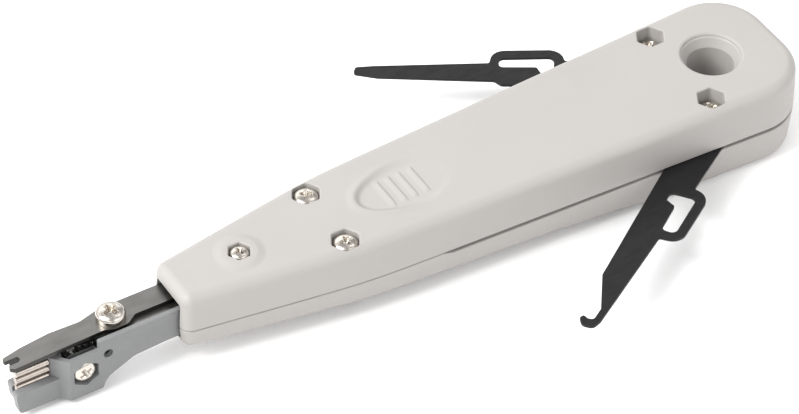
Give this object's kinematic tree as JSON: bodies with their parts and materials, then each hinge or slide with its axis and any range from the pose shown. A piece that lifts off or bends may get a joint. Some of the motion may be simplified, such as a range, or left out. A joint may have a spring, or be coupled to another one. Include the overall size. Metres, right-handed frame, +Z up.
{
  "type": "punch down tool",
  "caption": "Insertion tool for telecom terminal blocks: sprung forked blade with wire scissor and sensor, two-shell handle, fold-out hook and release blade.",
  "frame": {"origin": "on the flat rear part of the underside, on the centre line, 11 mm ahead of the hanging hole's axis; the handle rests on this face", "axes": "+X to the rear of the handle, -X to the working tip, -Y to the hook blade's side, +Z up out of the screw side"},
  "size_m": [0.1781, 0.0871, 0.0199],
  "materials": {
    "shell_plastic": "fine moulded texture",
    "black_steel": "black oxide, satin",
    "blade_steel": "brushed, darkened",
    "nickel_steel": "bright nickel plate",
    "sensor_plastic": "satin grey moulding",
    "cast_zinc": "as cast",
    "spring_steel": "bright drawn wire"
  },
  "bodies": {
    "handle": {"top_shell": "shell_plastic", "bottom_shell": "shell_plastic", "front_shell_screw": "nickel_steel", "front_shell_nut": "nickel_steel", "middle_far_shell_screw": "nickel_steel", "middle_far_shell_nut": "nickel_steel", "middle_near_shell_screw": "nickel_steel", "middle_near_shell_nut": "nickel_steel", "rear_far_shell_screw": "nickel_steel", "rear_far_shell_nut": "nickel_steel", "rear_near_shell_screw": "nickel_steel", "rear_near_shell_nut": "nickel_steel", "hook_pivot_sleeve": "nickel_steel", "release_pivot_sleeve": "nickel_steel", "main_spring": "spring_steel"},
    "head": {"fork_blade": "blade_steel", "blade_holder": "cast_zinc", "plunger_block": "cast_zinc", "holder_rivet": "cast_zinc", "plunger_rivet_far": "cast_zinc", "plunger_rivet_near": "cast_zinc", "scissor_pivot_screw": "nickel_steel", "spring_guide_rod": "nickel_steel", "scissor_return_spring": "spring_steel"},
    "scissor": {"scissor_blade": "blade_steel"},
    "sensor": {"sensor_body": "sensor_plastic", "sensor_rod_lower": "nickel_steel", "sensor_rod_middle": "nickel_steel", "sensor_rod_upper": "nickel_steel", "sensor_clamp_screw": "nickel_steel", "sensor_clamp_nut": "nickel_steel", "sensor_spring": "spring_steel"},
    "hook": {"hook_blade": "black_steel"},
    "release": {"release_blade": "black_steel"}
  },
  "joints": [
    {"name": "head_slide", "type": "slide", "parent": "handle", "child": "head", "axis": [1, 0, 0], "range_m": [0, 0.005], "stiffness_N_per_m": 2000, "springref_m": -0.003, "deforming": ["main_spring"]},
    {"name": "scissor_pivot", "type": "hinge", "parent": "head", "child": "scissor", "pos_m": [-0.1281, 0.0009, 0.0122], "axis": [0, 0, 1], "range_deg": [0, 5.51], "deforming": ["scissor_return_spring"]},
    {"name": "sensor_slide", "type": "slide", "parent": "head", "child": "sensor", "axis": [1, 0, 0], "range_m": [0, 0.0025], "stiffness_N_per_m": 300, "springref_m": -0.002, "deforming": ["sensor_spring"]},
    {"name": "hook_swing", "type": "hinge", "parent": "handle", "child": "hook", "pos_m": [0.0033, -0.01086, 0.009], "axis": [0, 0, 1], "range_deg": [-38, 60]},
    {"name": "release_swing", "type": "hinge", "parent": "handle", "child": "release", "pos_m": [0.0033, 0.01086, 0.009], "axis": [0, 0, 1], "range_deg": [-60, 35]}
  ],
  "couplings": [
    {"joint": "scissor_pivot", "follows": "head_slide", "rad_per_m": 19.2}
  ]
}
